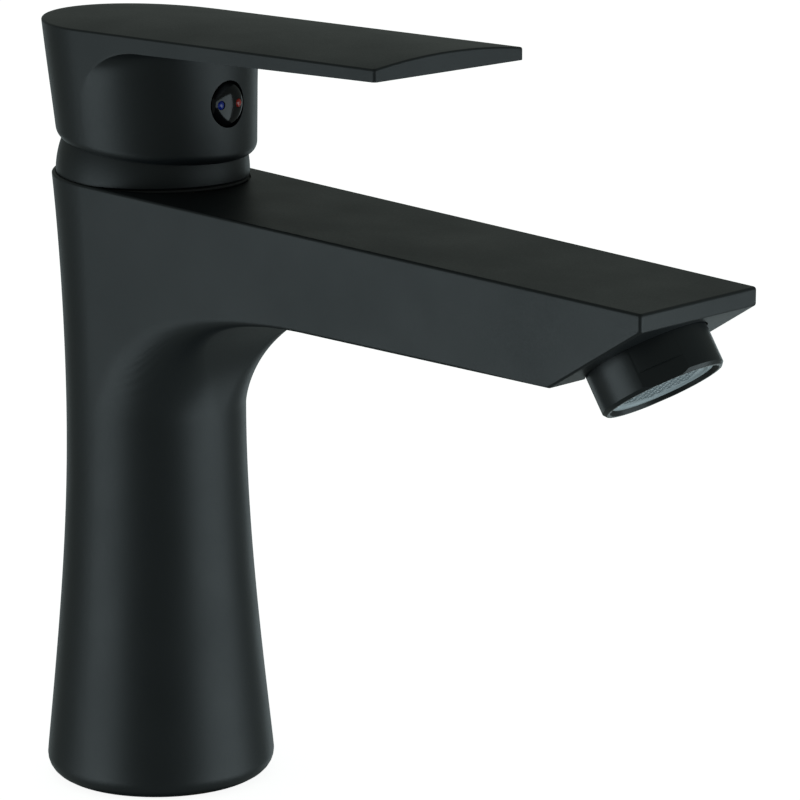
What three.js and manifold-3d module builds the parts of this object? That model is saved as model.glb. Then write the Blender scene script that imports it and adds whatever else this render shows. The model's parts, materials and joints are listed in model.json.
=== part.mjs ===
// A single-lever washbasin mixer: cast body with a fixed spout, lever handle over a domed collar,
// ceramic-disc cartridge, tilted aerator and the fixing kit that clamps it through the deck.
// Millimetres, +Z up. The origin is the centre of the base on the deck plane.
// The spout and the lever point along -Y, and "reach" below means a distance along -Y.
import * as THREE from 'three';
import { mergeVertices } from 'three/addons/utils/BufferGeometryUtils.js';
import Module from 'manifold-3d';

const wasm = await Module();
wasm.setup();

// ---------- driving dimensions ----------
const CLEARANCE = 0.3;

const BASE_RADIUS = 25.5;
const BASE_EDGE_RADIUS = 5;
const WAIST_RADIUS = 19.5;
const WAIST_HEIGHT = 82;
const TOP_RADIUS = 21.7;
const TOP_HEIGHT = 133.35;
const TOP_TILT = 0.0625;

const SPOUT_REACH = 146;
const SPOUT_TIP_HALF_WIDTH = 18.6;
const SPOUT_UNDERSIDE = { reach: 62, level: 113.1, tipLevel: 115.2 };
const SPOUT_EDGE_RADIUS = 0.7;
const TIP_FACE_HEIGHT = 3.6;
const OUTLET_TILT = THREE.MathUtils.degToRad(32);
const OUTLET_REACH = 133.2;
const OUTLET_PROUD = 8.6;
const AERATOR_RADIUS = 12.75;

const WALL = 2.7;
const WEB = { bottom: 90, top: 104 };
const BASE_BORE_RADIUS = 17.2;
const WELL_RADIUS = 17.6;
const COLLAR_SEAT = { radius: 20.95, height: 131.8 };

const PIVOT_HEIGHT = 134;
const DOME_RADIUS = 20.8;
const LIFT_ARM = 13.5;
const PIN_RADIUS = 1.7;
const PIN_HOLE_RADIUS = 2;

// Heights in the cartridge's stack, from the bottom up.
const CARTRIDGE_RADIUS = 17.2;
const STACK = {
  base: [104.3, 109.3],
  lowerDisc: [109.6, 112.6],
  upperDisc: [112.9, 115.9],
  carrier: [116.2, 121.9],
  turretFlange: [122.2, 125.3],
  housingTop: 130,
  nut: [130.3, 135],
  turretTop: 139,
  stemTop: 153.5,
};
const PORT_RADIUS = 3;
const PORT_SEAL = { inner: 3.2, outer: 4.6, height: 1.5 };
const MIXED_PORT_REACH = 9.5;
const DISC_RADIUS = 12;
const DISC_OFFSET = 2.1;

const LEVER_REACH = 83.6;
const LEVER_TIP_HALF_WIDTH = 22.9;
const LEVER_TOP = { height: 167.8, tilt: 0.014, crownRadius: 180 };
const LEVER_UNDERSIDE = 162.6;
const SKIRT = { level: 140, tilt: 0.115, radius: 21.35, shift: 1.4 };
const CROWN_RIM = { level: 166.5, radius: 23, shift: -0.3 };
const BUTTON = { radius: 4.7, height: 150.3, rim: 21.9, bulge: 1.3 };
const DOT_SPREAD = 2.6;

const STUD = { radius: 4, reach: 12, top: 28, bottom: -52 };
const GASKET = { inner: 19, outer: 20, height: 1.7 };
const DECK_THICKNESS = 15;
const CLAMP = { radius: 24, rubber: 2.5, washer: 2, slotHalfWidth: 11, slotEnd: -4 };
const CLAMP_NUT = { radius: 7.5, length: 14 };
const INLETS = { side: 7, back: 5.5, threadRadius: 4.6, boreRadius: 3.6 };

const ROUND = 36;

// ---------- finishes ----------
const finish = (color, roughness, metalness) => (
  new THREE.MeshStandardMaterial({ color, roughness, metalness })
);
const MATT_BLACK = finish(0x2b2e2f, 0.55, 0.2);
const GLOSS_BLACK = finish(0x0b0c0d, 0.12, 0);
const RUBBER = finish(0x151515, 0.85, 0);
const BRASS = finish(0xb08d4a, 0.35, 1);
const STEEL = finish(0x9a9d9f, 0.35, 1);
const CARTRIDGE_PLASTIC = finish(0xd9d9d2, 0.5, 0);
const CARRIER_PLASTIC = finish(0x3566a8, 0.5, 0);
const CERAMIC = finish(0xe9e6dd, 0.25, 0);
const GREY_PLASTIC = finish(0x9aa3a8, 0.45, 0);
const COLD_BLUE = finish(0x1f4fd0, 0.3, 0);
const HOT_RED = finish(0xd02a22, 0.3, 0);

// ---------- solids ----------
function toSolid(geometry) {
  const bare = geometry.clone();
  bare.deleteAttribute('normal');
  bare.deleteAttribute('uv');
  const merged = mergeVertices(bare, 1e-4);
  return new wasm.Manifold(new wasm.Mesh({
    numProp: 3,
    vertProperties: new Float32Array(merged.attributes.position.array),
    triVerts: new Uint32Array(merged.index.array),
  }));
}

function toGeometry(solid) {
  const mesh = solid.getMesh();
  const geometry = new THREE.BufferGeometry();
  const positions = new Float32Array(mesh.vertProperties);
  geometry.setAttribute('position', new THREE.BufferAttribute(positions, 3));
  geometry.setIndex(new THREE.BufferAttribute(new Uint32Array(mesh.triVerts), 1));
  geometry.computeVertexNormals();
  return geometry;
}

function cut(solid, ...tools) {
  return tools.reduce((rest, tool) => rest.subtract(tool), solid);
}

function join(...solids) {
  return solids.reduce((whole, next) => whole.add(next));
}

function moved(solid, x, y, z) {
  return solid.translate([x, y, z]);
}

// A round solid about +Z from [radius, height] points, which start and end on the axis.
function turned(profile, segments = ROUND) {
  const points = profile.map(([radius, height]) => new THREE.Vector2(radius, height));
  const geometry = new THREE.LatheGeometry(points, segments);
  geometry.rotateX(Math.PI / 2);
  return toSolid(geometry);
}

function rod(radius, bottom, top, segments = ROUND) {
  return turned([[0, bottom], [radius, bottom], [radius, top], [0, top]], segments);
}

// A ring is closed on itself, off the axis.
function ring(inner, outer, bottom, top, segments = ROUND) {
  return turned([[inner, bottom], [outer, bottom], [outer, top], [inner, top], [inner, bottom]], segments);
}

function ball(radius, segments = ROUND) {
  return toSolid(new THREE.SphereGeometry(radius, segments, segments / 2));
}

function block(low, high) {
  const size = high.map((value, axis) => value - low[axis]);
  const geometry = new THREE.BoxGeometry(...size);
  geometry.translate(...low.map((value, axis) => value + size[axis] / 2));
  return toSolid(geometry);
}

// A flat outline of [x, y] points raised along +Z.
function raised(outline, bottom, top, holes = []) {
  const shape = new THREE.Shape(outline.map(([x, y]) => new THREE.Vector2(x, y)));
  for (const { x, y, radius } of holes) {
    shape.holes.push(new THREE.Path().absarc(x, y, radius, 0, 2 * Math.PI));
  }
  const depth = top - bottom;
  const geometry = new THREE.ExtrudeGeometry(shape, { depth, bevelEnabled: false, curveSegments: 24 });
  geometry.translate(0, 0, bottom);
  return toSolid(geometry);
}

// A side view of [reach, height] points, made as wide as 2 * halfWidth along X.
function sideways(outline, halfWidth) {
  const shape = new THREE.Shape(outline.map(([reach, height]) => new THREE.Vector2(reach, height)));
  const geometry = new THREE.ExtrudeGeometry(shape, { depth: 2 * halfWidth, bevelEnabled: false });
  const alongReach = new THREE.Matrix4().set(
    0, 0, -1, halfWidth,
    -1, 0, 0, 0,
    0, 1, 0, 0,
    0, 0, 0, 1,
  );
  geometry.applyMatrix4(alongReach);
  return toSolid(geometry);
}

function bezier(...points) {
  return new THREE.CubicBezierCurve(...points.map(([a, b]) => new THREE.Vector2(a, b)));
}

const smooth = (value) => THREE.MathUtils.smoothstep(value, 0, 1);

// ---------- the section family shared by the body and the handle ----------
// One level of the skin: a half circle behind, straight sides that taper towards the tip, and a
// front edge at a given reach whose corners have their own radius. A corner as wide as the section
// makes it a full circle. Levels lean by `tilt`, so a point further out lies lower.
const REAR_STEPS = 14;
const CORNER_STEPS = 5;
const LARGEST_CORNER = 0.975;

function sectionPoints({ level, tilt, radius, shift = 0, front, corner, tipReach, tipHalfWidth }) {
  const halfWidth = (reach) => THREE.MathUtils.mapLinear(reach, shift, tipReach, radius, tipHalfWidth);
  const round = Math.min(corner, LARGEST_CORNER * radius);
  const cornerReach = front - round;
  const cornerCentre = halfWidth(cornerReach) - round;
  const outline = [];
  for (let i = 0; i <= REAR_STEPS; i++) {
    const angle = Math.PI * i / REAR_STEPS;
    outline.push([radius * Math.cos(angle), shift - radius * Math.sin(angle)]);
  }
  for (const side of [-1, 1]) {
    for (let i = 0; i <= CORNER_STEPS; i++) {
      const turn = (Math.PI / 2) * (side < 0 ? i : CORNER_STEPS - i) / CORNER_STEPS;
      const across = cornerCentre + round * Math.cos(turn);
      outline.push([side * across, cornerReach + round * Math.sin(turn)]);
    }
  }
  return outline.map(([x, reach]) => [x, -reach, level - tilt * reach]);
}

// Joins the levels, lowest first, into one closed skin.
function skin(sections) {
  const rows = sections.map(sectionPoints);
  const around = rows[0].length;
  const positions = rows.flat(2);
  const index = [];
  for (let row = 0; row + 1 < rows.length; row++) {
    for (let i = 0; i < around; i++) {
      const next = (i + 1) % around;
      const [a, b] = [row * around + i, row * around + next];
      index.push(a, b, a + around, b, b + around, a + around);
    }
  }
  const last = (rows.length - 1) * around;
  const flat = rows[0].map(([x, y]) => new THREE.Vector2(x, y));
  for (const [a, b, c] of THREE.ShapeUtils.triangulateShape(flat, [])) index.push(a, c, b);
  const cap = rows.at(-1).map(([x, y]) => new THREE.Vector2(x, y));
  for (const [a, b, c] of THREE.ShapeUtils.triangulateShape(cap, [])) {
    index.push(last + a, last + b, last + c);
  }
  const geometry = new THREE.BufferGeometry();
  geometry.setAttribute('position', new THREE.Float32BufferAttribute(positions, 3));
  geometry.setIndex(index);
  return toSolid(geometry);
}

// ---------- body ----------
const lowerPillar = bezier([BASE_RADIUS, 0], [22.3, 30], [WAIST_RADIUS, 55], [WAIST_RADIUS, WAIST_HEIGHT]);
const upperPillar = bezier(
  [WAIST_RADIUS, WAIST_HEIGHT],
  [WAIST_RADIUS, 100],
  [20.4, 119],
  [TOP_RADIUS, TOP_HEIGHT],
);
const COVE_START = 84;
const cove = bezier(
  [WAIST_RADIUS, COVE_START],
  [WAIST_RADIUS + 0.9, 103],
  [34, 112.7],
  [SPOUT_UNDERSIDE.reach, SPOUT_UNDERSIDE.level],
);

function pillarRadius(height) {
  const curve = height < WAIST_HEIGHT ? lowerPillar : upperPillar;
  let [low, high] = [0, 1];
  for (let step = 0; step < 30; step++) {
    const middle = (low + high) / 2;
    if (curve.getPoint(middle).y < height) low = middle;
    else high = middle;
  }
  return curve.getPoint(low).x;
}

function bodySection(level, front, corner) {
  const radius = pillarRadius(level);
  const tilt = TOP_TILT * smooth((level - 60) / 24);
  return {
    level,
    tilt,
    radius,
    front: front ?? radius,
    corner: corner ?? radius,
    tipReach: SPOUT_REACH,
    tipHalfWidth: Math.min(SPOUT_TIP_HALF_WIDTH, radius),
  };
}

function bodySections() {
  const sections = [];
  for (const angle of [0, 22.5, 45, 67.5]) {
    const turn = THREE.MathUtils.degToRad(angle);
    const level = BASE_EDGE_RADIUS * (1 - Math.cos(turn));
    const inset = BASE_EDGE_RADIUS * (1 - Math.sin(turn));
    const radius = pillarRadius(level) - inset;
    sections.push({ ...bodySection(level, radius, radius), radius, tipHalfWidth: radius });
  }
  for (let level = BASE_EDGE_RADIUS; level < COVE_START; level += 10) sections.push(bodySection(level));
  const coveSteps = 11;
  for (let i = 0; i <= coveSteps; i++) {
    const along = i / coveSteps;
    const { x: front, y: level } = cove.getPoint(along);
    const corner = SPOUT_EDGE_RADIUS + (WAIST_RADIUS - SPOUT_EDGE_RADIUS) * (1 - along) ** 1.75;
    sections.push(bodySection(level, front, corner));
  }
  for (const level of [SPOUT_UNDERSIDE.tipLevel, 122, 128, TOP_HEIGHT]) {
    sections.push(bodySection(level, SPOUT_REACH, SPOUT_EDGE_RADIUS));
  }
  return sections;
}

// The tip's lower half is cut back to a slope that faces the basin, square to the outlet's axis.
const tipTop = TOP_HEIGHT - TOP_TILT * SPOUT_REACH;
const tipFaceBottom = tipTop - TIP_FACE_HEIGHT;
const slopeHeight = (reach) => tipFaceBottom + (reach - SPOUT_REACH) * Math.tan(OUTLET_TILT);

// Places a solid drawn about +Z, with z = 0 on the slope and -Z leaving the outlet.
function onOutletAxis(solid) {
  return solid
    .rotate([-THREE.MathUtils.radToDeg(OUTLET_TILT), 0, 0])
    .translate([0, -OUTLET_REACH, slopeHeight(OUTLET_REACH)]);
}

// The pillar's hollow, open at the foot. It never widens again on the way up to the web.
function innerProfile() {
  const profile = [[0, -1], [BASE_BORE_RADIUS, -1], [BASE_BORE_RADIUS, 8]];
  for (let level = 12; level < WAIST_HEIGHT; level += 13) profile.push([pillarRadius(level) - WALL, level]);
  const narrowest = WAIST_RADIUS - WALL;
  return [...profile, [narrowest, WAIST_HEIGHT], [narrowest, WEB.bottom], [0, WEB.bottom]];
}

// The way from the cartridge's mixed-water port, up a riser and along the hollow spout.
function waterway() {
  const [rear, front, wall] = [19.4, 124, 2.5];
  const topAt = (reach) => TOP_HEIGHT - TOP_TILT * reach - wall;
  const side = sideways([
    [rear, 113.6], [55, 113.8], [100, 112.4], [front, 115.8], [front, topAt(front)], [rear, topAt(rear)],
  ], SPOUT_REACH);
  const plan = raised([[17.2, -rear], [15.6, -front], [-15.6, -front], [-17.2, -rear]], 100, 140);
  const riser = block([-6, -23.4, 98.6], [6, -rear, 120]);
  const crossing = block([-4.5, -20, 98.6], [4.5, -6, 102.6]);
  const port = moved(rod(3.6, 99, 105), 0, -MIXED_PORT_REACH, 0);
  return join(side.intersect(plan), riser, crossing, port);
}

function faucetBody() {
  const outer = skin(bodySections());
  const below = sideways([
    [SPOUT_REACH + 5, slopeHeight(SPOUT_REACH + 5)], [90, slopeHeight(90)], [90, 60], [SPOUT_REACH + 5, 60],
  ], 30);
  const [bossRadius, bossBottom, bossTop] = [7.6, 6, 34];
  const boss = join(
    moved(rod(bossRadius, bossBottom, bossTop), 0, -STUD.reach, 0),
    block([-5, -24, bossBottom], [5, -STUD.reach, bossTop]),
  ).intersect(outer);
  const seat = join(
    rod(WELL_RADIUS, WEB.top, 140),
    rod(COLLAR_SEAT.radius, COLLAR_SEAT.height, 140),
  );
  const gasketGroove = ring(
    GASKET.inner - CLEARANCE,
    GASKET.outer + CLEARANCE,
    -1,
    GASKET.height + CLEARANCE,
  );
  const inlets = [-1, 1].flatMap((side) => [
    moved(rod(INLETS.threadRadius, WEB.bottom - 5, WEB.bottom + 8, 24), side * INLETS.side, INLETS.back, 0),
    moved(rod(INLETS.boreRadius, WEB.bottom, WEB.top + 1, 24), side * INLETS.side, INLETS.back, 0),
  ]);
  const outlet = onOutletAxis(join(rod(AERATOR_RADIUS + CLEARANCE, -20, 5.2), rod(7, 4, 8)));
  const studHole = moved(rod(STUD.radius + CLEARANCE, -5, STUD.top + 2, 24), 0, -STUD.reach, 0);
  const hollow = cut(outer, below, turned(innerProfile()));
  return cut(join(hollow, boss), studHole, seat, gasketGroove, ...inlets, waterway(), outlet);
}

// ---------- collar and cartridge ----------
// A dome about the lever's pivot over a threaded neck that stands in the body's seat.
function domeCollar() {
  const [neckInner, neckOuter, neckBottom, edge, skinThickness, mouth] = [18.2, 19.6, 132.1, 133.9, 2, 14];
  const arcPoint = (radius, angle) => [radius * Math.cos(angle), PIVOT_HEIGHT + radius * Math.sin(angle)];
  const profile = [[neckInner, neckBottom], [neckOuter, neckBottom], [neckOuter, edge]];
  const outerEnd = Math.acos(mouth / DOME_RADIUS);
  const innerEnd = Math.acos(mouth / (DOME_RADIUS - skinThickness));
  const [outerSteps, innerSteps] = [8, 4];
  for (let i = 0; i <= outerSteps; i++) profile.push(arcPoint(DOME_RADIUS, outerEnd * i / outerSteps));
  for (let i = innerSteps; i >= 0; i--) {
    profile.push(arcPoint(DOME_RADIUS - skinThickness, innerEnd * i / innerSteps));
  }
  return turned([...profile, [neckInner, PIVOT_HEIGHT], profile[0]]);
}

function cartridgeNut() {
  const [bottom, top] = STACK.nut;
  const slotDepth = 1.6;
  const slots = [0, 60, 120].map((turn) => (
    block([-20, -1.5, top - slotDepth], [20, 1.5, top + 1]).rotate([0, 0, turn])
  ));
  return cut(ring(10.3, 17.3, bottom, top), ...slots);
}

function cartridgeHousing() {
  const discSpace = rod(15, STACK.base[0], STACK.turretFlange[1] + CLEARANCE);
  const neckHole = rod(9.9, STACK.turretFlange[1], STACK.housingTop + 1);
  const keyway = block([-1.5, -18, STACK.housingTop - 1.5], [1.5, -9, STACK.housingTop + 1]);
  return cut(rod(CARTRIDGE_RADIUS, STACK.lowerDisc[0], STACK.housingTop), discSpace, neckHole, keyway);
}

// The ports of the base and of the fixed disc line up: hot and cold behind, mixed water in front.
const PORTS = [
  { name: 'hot', x: INLETS.side, y: INLETS.back },
  { name: 'cold', x: -INLETS.side, y: INLETS.back },
  { name: 'outlet', x: 0, y: -MIXED_PORT_REACH },
];

function cartridgeBase() {
  const [bottom, top] = STACK.base;
  const ways = PORTS.flatMap(({ x, y }) => [
    moved(rod(PORT_RADIUS, bottom - 1, top + 1, 24), x, y, 0),
    moved(rod(PORT_SEAL.outer + CLEARANCE, bottom - 1, bottom + PORT_SEAL.height + CLEARANCE, 24), x, y, 0),
  ]);
  return cut(rod(CARTRIDGE_RADIUS, bottom, top), ...ways);
}

function portSeal({ x, y }) {
  const bottom = STACK.base[0];
  return moved(ring(PORT_SEAL.inner, PORT_SEAL.outer, bottom, bottom + PORT_SEAL.height, 24), x, y, 0);
}

function lowerDisc() {
  const [bottom, top] = STACK.lowerDisc;
  const ways = PORTS.map(({ x, y }) => moved(rod(PORT_RADIUS, bottom - 1, top + 1, 24), x, y, 0));
  return cut(rod(14.4, bottom, top), ...ways);
}

// The moving disc's underside has a pocket that joins the ports it lies over.
function upperDisc() {
  const [bottom, top] = STACK.upperDisc;
  const pocket = moved(rod(6, bottom - 1, bottom + 1.5, 24), 0, DISC_OFFSET - 1.5, 0);
  return cut(moved(rod(DISC_RADIUS, bottom, top), 0, DISC_OFFSET, 0), pocket);
}

function discCarrier() {
  const [bottom, top] = STACK.carrier;
  const [pocketHalfWidth, pocketFloor, keyHalfWidth, keyDepth] = [3.3, 1.1, 1, 2.4];
  return cut(
    moved(rod(DISC_RADIUS, bottom, top), 0, DISC_OFFSET, 0),
    block(
      [-pocketHalfWidth, -pocketHalfWidth, bottom + pocketFloor],
      [pocketHalfWidth, pocketHalfWidth, top + 1],
    ),
    block([-14, DISC_OFFSET - keyHalfWidth, top - keyDepth], [14, DISC_OFFSET + keyHalfWidth, top + 1]),
  );
}

// Drawn about +Z, then laid along X on the lever's pivot.
function onPivot(solid) {
  return solid.rotate([0, 90, 0]).translate([0, 0, PIVOT_HEIGHT]);
}

function turret() {
  const [bottom, flangeTop] = STACK.turretFlange;
  const slot = block([-4.35, -7.8, bottom - 1], [4.35, 7.8, STACK.turretTop + 1]);
  const body = join(rod(13.3, bottom, flangeTop), rod(9.5, bottom, STACK.turretTop));
  return cut(body, slot, onPivot(rod(PIN_HOLE_RADIUS, -12, 12, 24)));
}

function pivotPin() {
  return onPivot(rod(PIN_RADIUS, -9, 9, 24));
}

function cartridgeStem() {
  const tipHeight = PIVOT_HEIGHT - LIFT_ARM;
  const hub = onPivot(rod(4.6, -4, 4, 32));
  const tip = moved(ball(2.8, 16), 0, 0, tipHeight);
  const arm = rod(2.4, tipHeight, PIVOT_HEIGHT, 16);
  const shank = block([-3.5, -3.5, PIVOT_HEIGHT], [3.5, 3.5, STACK.stemTop]);
  return cut(join(hub, tip, arm, shank), onPivot(rod(PIN_HOLE_RADIUS, -12, 12, 24)));
}

// ---------- handle ----------
function handleSection(level, tilt, front, corner) {
  const along = (level - SKIRT.level) / (CROWN_RIM.level - SKIRT.level);
  const radius = THREE.MathUtils.lerp(SKIRT.radius, CROWN_RIM.radius, along);
  const shift = THREE.MathUtils.lerp(SKIRT.shift, CROWN_RIM.shift, along);
  return {
    level,
    tilt,
    radius,
    shift,
    front: front ?? radius + shift,
    corner: corner ?? radius,
    tipReach: LEVER_REACH,
    tipHalfWidth: LEVER_TIP_HALF_WIDTH,
  };
}

function handleSections() {
  const coveBottom = 149;
  const edge = 0.8;
  const fillet = 2.5;
  const sections = [];
  const levels = [SKIRT.level, 143, 146, coveBottom, 151, 153, 155, 157, 159, 160.1, 161, 161.8, 162.3];
  for (const level of levels) {
    const lift = Math.max(0, (level - coveBottom) / (LEVER_UNDERSIDE - coveBottom));
    const tilt = SKIRT.tilt * (1 - smooth((level - SKIRT.level) / (LEVER_UNDERSIDE - SKIRT.level)));
    const section = handleSection(level, tilt);
    const intoFillet = Math.max(0, level - (LEVER_UNDERSIDE - fillet));
    section.front += fillet - Math.sqrt(fillet ** 2 - intoFillet ** 2);
    section.corner = edge + (section.radius - edge) * Math.sqrt(1 - lift ** 2);
    sections.push(section);
  }
  sections.push(handleSection(LEVER_UNDERSIDE, 0, LEVER_REACH, edge));
  sections.push(handleSection(172, 0, LEVER_REACH, edge));
  return sections;
}

// The crown: everything under a large cylinder that lies along the lever and leans with it.
function underCrown() {
  const { height, tilt, crownRadius } = LEVER_TOP;
  return rod(crownRadius, -160, 160, 180)
    .rotate([90, 0, 0])
    .translate([0, 0, -crownRadius])
    .rotate([THREE.MathUtils.radToDeg(Math.atan(tilt)), 0, 0])
    .translate([0, 0, height]);
}

function leverHandle() {
  const outer = skin(handleSections()).intersect(underCrown());
  const [bossRadius, bossBottom, pocketRadius, pocketTop] = [7.2, 143, 14.5, 160.5];
  const [socketHalfWidth, socketTop, screwHoleRadius, seatReach] = [3.8, 154, 2.5, 20.2];
  const cavity = join(
    moved(ball(DOME_RADIUS + CLEARANCE, 48), 0, 0, PIVOT_HEIGHT),
    rod(pocketRadius, bossBottom + 3, pocketTop),
  );
  const boss = rod(bossRadius, bossBottom, pocketTop + 0.5);
  const socket = block(
    [-socketHalfWidth, -socketHalfWidth, bossBottom - 3],
    [socketHalfWidth, socketHalfWidth, socketTop],
  );
  const screwHole = facingFront(rod(screwHoleRadius, 0, 30, 24));
  const buttonSeat = facingFront(rod(BUTTON.radius + CLEARANCE, seatReach, 30, 32));
  return cut(join(cut(outer, cavity), boss), socket, screwHole, buttonSeat);
}

// Drawn along +Z from the axis outwards, then laid along -Y at the button's height.
function facingFront(solid) {
  return solid.rotate([90, 0, 0]).translate([0, 0, BUTTON.height]);
}

function grubScrew() {
  return facingFront(cut(rod(2.2, 3.8, 11, 24), rod(1.4, 8.5, 12, 6)));
}

function buttonProfile() {
  const [stalkEnd, stalkRadius, seatFloor] = [15.5, 2.1, 20.5];
  const { radius, rim, bulge } = BUTTON;
  const profile = [
    [0, stalkEnd], [stalkRadius, stalkEnd], [stalkRadius, seatFloor], [radius, seatFloor], [radius, rim],
  ];
  const steps = 5;
  for (let i = 1; i <= steps; i++) {
    const angle = (Math.PI / 2) * i / steps;
    profile.push([radius * Math.cos(angle), rim + bulge * Math.sin(angle)]);
  }
  return profile;
}

function dotPlace(side) {
  return facingFront(rod(0.9, BUTTON.rim - 0.4, 26, 16).translate([side * DOT_SPREAD, 0, 0]));
}

function indexButton() {
  return cut(facingFront(turned(buttonProfile(), 24)), dotPlace(-1), dotPlace(1));
}

function indexDot(side) {
  return facingFront(rod(0.6, BUTTON.rim - 0.1, BUTTON.rim + 1, 16).translate([side * DOT_SPREAD, 0, 0]));
}

// ---------- aerator ----------
// The threaded housing, with two opposite flats for a spanner.
function aeratorShroud() {
  const flatDepth = 0.9;
  const flatBlock = block(
    [-5, -20, -OUTLET_PROUD - 1],
    [5, -AERATOR_RADIUS + flatDepth, -OUTLET_PROUD + 5],
  );
  const body = turned([
    [11.6, -OUTLET_PROUD], [AERATOR_RADIUS - 0.6, -OUTLET_PROUD], [AERATOR_RADIUS, -OUTLET_PROUD + 0.8],
    [AERATOR_RADIUS, 3], [11, 3], [11, -OUTLET_PROUD + 1.6], [11.6, -OUTLET_PROUD],
  ]);
  return onOutletAxis(cut(body, flatBlock.rotate([0, 0, -45]), flatBlock.rotate([0, 0, 135])));
}

// A honeycomb of straight ways that steadies the jet.
function aeratorInsert() {
  const [floor, thickness, pitch, hole] = [-OUTLET_PROUD + 1, 4, 3.6, 1.3];
  const disc = rod(10.6, floor, floor + thickness);
  const holes = [];
  for (let row = -3; row <= 3; row++) {
    for (let column = -3; column <= 3; column++) {
      const x = (column + (row % 2 ? 0.5 : 0)) * pitch;
      const y = row * pitch * Math.sqrt(3) / 2;
      if (Math.hypot(x, y) < 8.6) {
        holes.push(moved(rod(hole, floor - 1, floor + thickness + 1, 6), x, y, 0));
      }
    }
  }
  return onOutletAxis(cut(disc, ...holes));
}

function aeratorScreen() {
  const bottom = -OUTLET_PROUD + 5.3;
  const disc = rod(10.6, bottom, bottom + 0.8);
  const holes = [];
  for (let spoke = 0; spoke < 6; spoke++) {
    for (const reach of [3.4, 7.2]) {
      holes.push(moved(rod(1.3, bottom - 1, bottom + 2, 8), reach, 0, 0).rotate([0, 0, spoke * 60]));
    }
  }
  return onOutletAxis(cut(disc, ...holes));
}

function aeratorWasher() {
  return onOutletAxis(ring(9.3, 12.6, 3.3, 4.9));
}

// ---------- fixing kit under the deck ----------
// A round plate with a slot open to the back, which leaves the hoses their way down.
function horseshoe(bottom, top) {
  const { radius, slotHalfWidth, slotEnd } = CLAMP;
  const mouth = Math.asin(slotHalfWidth / radius);
  const outline = [[slotHalfWidth, slotEnd], [-slotHalfWidth, slotEnd]];
  const steps = 28;
  for (let i = 0; i <= steps; i++) {
    const angle = Math.PI / 2 + mouth + (2 * Math.PI - 2 * mouth) * i / steps;
    outline.push([radius * Math.cos(angle), radius * Math.sin(angle)]);
  }
  return raised(outline, bottom, top, [{ x: 0, y: -STUD.reach, radius: STUD.radius + CLEARANCE }]);
}

function clampNut(top) {
  const bottom = top - CLAMP_NUT.length;
  const hex = rod(CLAMP_NUT.radius, bottom, top, 6);
  return moved(cut(hex, rod(STUD.radius + CLEARANCE, bottom - 1, top + 1, 24)), 0, -STUD.reach, 0);
}

function mountingStud() {
  return moved(rod(STUD.radius, STUD.bottom, STUD.top, 24), 0, -STUD.reach, 0);
}

const RUBBER_TOP = -DECK_THICKNESS;
const WASHER_TOP = RUBBER_TOP - CLAMP.rubber - CLEARANCE;
const NUT_TOP = WASHER_TOP - CLAMP.washer - CLEARANCE;

// ---------- assembly ----------
function part(name, solid, material) {
  const mesh = new THREE.Mesh(toGeometry(solid), material);
  mesh.name = name;
  return mesh;
}

function group(...children) {
  const whole = new THREE.Group();
  whole.add(...children);
  return whole;
}

const fixed = group(
  part('faucet_body', faucetBody(), MATT_BLACK),
  part('dome_collar', domeCollar(), MATT_BLACK),
  part('collar_o_ring', ring(19.9, 20.65, 132.1, 133.4), RUBBER),
  part('base_gasket', ring(GASKET.inner, GASKET.outer, 0, GASKET.height), RUBBER),
);

const cartridge = group(
  part('cartridge_nut', cartridgeNut(), BRASS),
  part('cartridge_housing', cartridgeHousing(), CARTRIDGE_PLASTIC),
  part('cartridge_base', cartridgeBase(), CARTRIDGE_PLASTIC),
  ...PORTS.map((port) => part(`port_seal_${port.name}`, portSeal(port), RUBBER)),
  part('lower_ceramic_disc', lowerDisc(), CERAMIC),
  part('upper_ceramic_disc', upperDisc(), CERAMIC),
  part('disc_carrier', discCarrier(), CARRIER_PLASTIC),
  part('cartridge_turret', turret(), CARRIER_PLASTIC),
  part('stem_pivot_pin', pivotPin(), STEEL),
  part('cartridge_stem', cartridgeStem(), STEEL),
);

const handle = group(
  part('lever_handle', leverHandle(), MATT_BLACK),
  part('handle_grub_screw', grubScrew(), STEEL),
  part('index_button', indexButton(), GLOSS_BLACK),
  part('cold_dot', indexDot(-1), COLD_BLUE),
  part('hot_dot', indexDot(1), HOT_RED),
);

const aerator = group(
  part('aerator_shroud', aeratorShroud(), MATT_BLACK),
  part('aerator_washer', aeratorWasher(), RUBBER),
  part('aerator_screen', aeratorScreen(), STEEL),
  part('aerator_insert', aeratorInsert(), GREY_PLASTIC),
);

const fixingKit = group(
  part('mounting_stud', mountingStud(), BRASS),
  part('clamp_rubber', horseshoe(RUBBER_TOP - CLAMP.rubber, RUBBER_TOP), RUBBER),
  part('clamp_washer', horseshoe(WASHER_TOP - CLAMP.washer, WASHER_TOP), STEEL),
  part('clamp_nut', clampNut(NUT_TOP), BRASS),
);

const mixer = group(fixed, cartridge, handle, aerator, fixingKit);

export default mixer;
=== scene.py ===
"""Looks for the single-lever basin mixer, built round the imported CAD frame.

The coated castings are lofted section by section, settled onto one smooth rounded field, and then
hollowed. Round pieces are lathed. Shapes are worked out in millimetres and made in metres.
"Reach" is a distance along -Y, the way the spout and the lever point.
"""
import itertools
import json
import math

import bmesh
import bpy
import numpy as np
from mathutils import Matrix, Vector

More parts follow.
